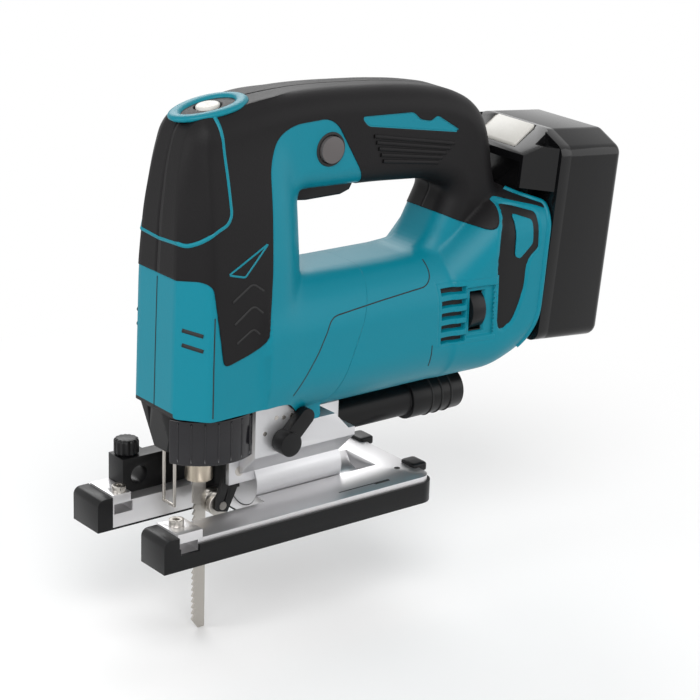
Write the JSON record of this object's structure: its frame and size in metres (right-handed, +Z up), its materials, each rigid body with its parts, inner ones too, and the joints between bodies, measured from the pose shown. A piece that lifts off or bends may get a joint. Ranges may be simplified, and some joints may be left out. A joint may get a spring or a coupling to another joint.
{
  "type": "cordless jigsaw",
  "caption": "Cordless D-handle jigsaw with a crank-driven reciprocating blade, orbital roller support, tilting base, dust nozzle and slide-off battery pack.",
  "frame": {"origin": "on the blade's axis, in the plane of the sole", "axes": "+X rearward along the base, +Y to the tool's right, +Z up along the blade"},
  "size_m": [0.2693, 0.077, 0.256],
  "materials": {
    "teal_plastic": "fine satin grain",
    "grip_rubber": "soft matt",
    "bezel_teal": "satin",
    "button_grey": "satin",
    "black_plastic": "satin",
    "smoke_plastic": "glossy dark smoke",
    "cast_aluminium": "cast and milled",
    "steel": "ground",
    "bronze": "sintered",
    "lamp_glass": "clear",
    "board_green": "lacquered"
  },
  "bodies": {
    "body": {"housing_left": "teal_plastic", "housing_right": "teal_plastic", "grip_left": "grip_rubber", "grip_right": "grip_rubber", "top_bezel": "bezel_teal", "top_pad": "grip_rubber", "gear_housing": "cast_aluminium", "gear_housing_screws": "steel", "plunger_bushes": "bronze", "crank_bearing": "steel", "motor_front_bearing": "steel", "motor_rear_bearing": "steel", "motor_stator": "steel", "nose_block": "black_plastic", "blade_guard_wire": "steel", "led_lamp": "lamp_glass", "retainer_pin": "steel", "switch_module": "black_plastic", "control_board": "board_green", "terminal_block": "black_plastic", "housing_screws": "steel", "dust_nozzle": "black_plastic", "base_clamp_bolt": "steel", "base_clamp_plate": "steel"},
    "rotor": {"rotor_core": "steel", "motor_shaft": "steel", "cooling_fan": "black_plastic"},
    "crank": {"crank_gear": "steel"},
    "plunger": {"plunger_rod": "steel", "blade_holder": "steel", "saw_blade": "steel"},
    "clamp_sleeve": {"blade_clamp_sleeve": "steel"},
    "release_lever": {"blade_release_lever": "smoke_plastic"},
    "retainer": {"roller_retainer": "steel", "roller_pin": "steel"},
    "roller": {"guide_roller": "steel"},
    "orbital": {"orbital_lever": "black_plastic"},
    "trigger": {"trigger": "black_plastic"},
    "lock": {"lock_button": "black_plastic"},
    "power": {"power_button": "button_grey"},
    "dial": {"speed_dial": "black_plastic"},
    "base": {"base_plate": "cast_aluminium", "base_shoe": "black_plastic", "fence_screws": "steel", "guide_clamp_block": "black_plastic"},
    "guide_knob": {"guide_clamp_knob": "black_plastic"},
    "battery": {"battery_case": "black_plastic", "battery_cover": "black_plastic", "battery_cells": "steel"},
    "battery_button": {"battery_release_button": "button_grey"}
  },
  "joints": [
    {"name": "crank_turn", "type": "hinge", "parent": "body", "child": "crank", "pos_m": [0.018, 0, 0.11], "axis": [1, 0, 0], "range_deg": [0, 180]},
    {"name": "plunger_stroke", "type": "slide", "parent": "body", "child": "plunger", "axis": [0, 0, 1], "range_m": [0, 0.026]},
    {"name": "rotor_spin", "type": "hinge", "parent": "body", "child": "rotor", "pos_m": [0.018, 0, 0.083], "axis": [1, 0, 0], "range_deg": [-720, 0]},
    {"name": "release_turn", "type": "hinge", "parent": "body", "child": "release_lever", "pos_m": [0, 0, 0.059], "axis": [0, 0, 1], "range_deg": [-40, 0], "stiffness_Nm_per_rad": 0.05, "springref_deg": 5.73},
    {"name": "sleeve_turn", "type": "hinge", "parent": "plunger", "child": "clamp_sleeve", "pos_m": [0, 0, 0.033], "axis": [0, 0, 1], "range_deg": [-40, 0]},
    {"name": "retainer_swing", "type": "hinge", "parent": "body", "child": "retainer", "pos_m": [0.016, 0, 0.027], "axis": [0, 1, 0], "range_deg": [-4, 0], "stiffness_Nm_per_rad": 0.2, "springref_deg": 2.86},
    {"name": "roller_spin", "type": "hinge", "parent": "retainer", "child": "roller", "pos_m": [0.0092, 0, 0.0098], "axis": [0, 1, 0], "continuous": true},
    {"name": "orbital_turn", "type": "hinge", "parent": "body", "child": "orbital", "pos_m": [0.031, -0.026, 0.0432], "axis": [0, -1, 0], "range_deg": [0, 70]},
    {"name": "trigger_pull", "type": "slide", "parent": "body", "child": "trigger", "axis": [0, 0, 1], "range_m": [0, 0.005], "stiffness_N_per_m": 800},
    {"name": "lock_push", "type": "slide", "parent": "body", "child": "lock", "axis": [0, 1, 0], "range_m": [0, 0.003], "stiffness_N_per_m": 600},
    {"name": "power_push", "type": "slide", "parent": "body", "child": "power", "axis": [0, 0, -1], "range_m": [0, 0.001], "stiffness_N_per_m": 1500, "springref_m": -0.0005},
    {"name": "dial_turn", "type": "hinge", "parent": "body", "child": "dial", "pos_m": [0.138, -0.0238, 0.09], "axis": [1, 0, 0], "range_deg": [-130, 130]},
    {"name": "base_tilt", "type": "hinge", "parent": "body", "child": "base", "pos_m": [0.052, 0, 0.018], "axis": [1, 0, 0], "range_deg": [-40, 25]},
    {"name": "guide_knob_turn", "type": "hinge", "parent": "base", "child": "guide_knob", "pos_m": [-0.02, 0.031, 0.034], "axis": [0, 0, 1], "continuous": true},
    {"name": "battery_slide", "type": "slide", "parent": "body", "child": "battery", "axis": [0.0958, 0, 0.9954], "range_m": [0, 0.1]},
    {"name": "battery_button_push", "type": "slide", "parent": "battery", "child": "battery_button", "axis": [-0.0958, 0, -0.9954], "range_m": [0, 0.003], "stiffness_N_per_m": 900, "springref_m": -0.0005}
  ],
  "couplings": [
    {"joint": "plunger_stroke", "follows": "crank_turn", "m_per_rad": 0.0082761},
    {"joint": "rotor_spin", "follows": "crank_turn", "ratio": -4},
    {"joint": "sleeve_turn", "follows": "release_turn", "ratio": 1}
  ]
}
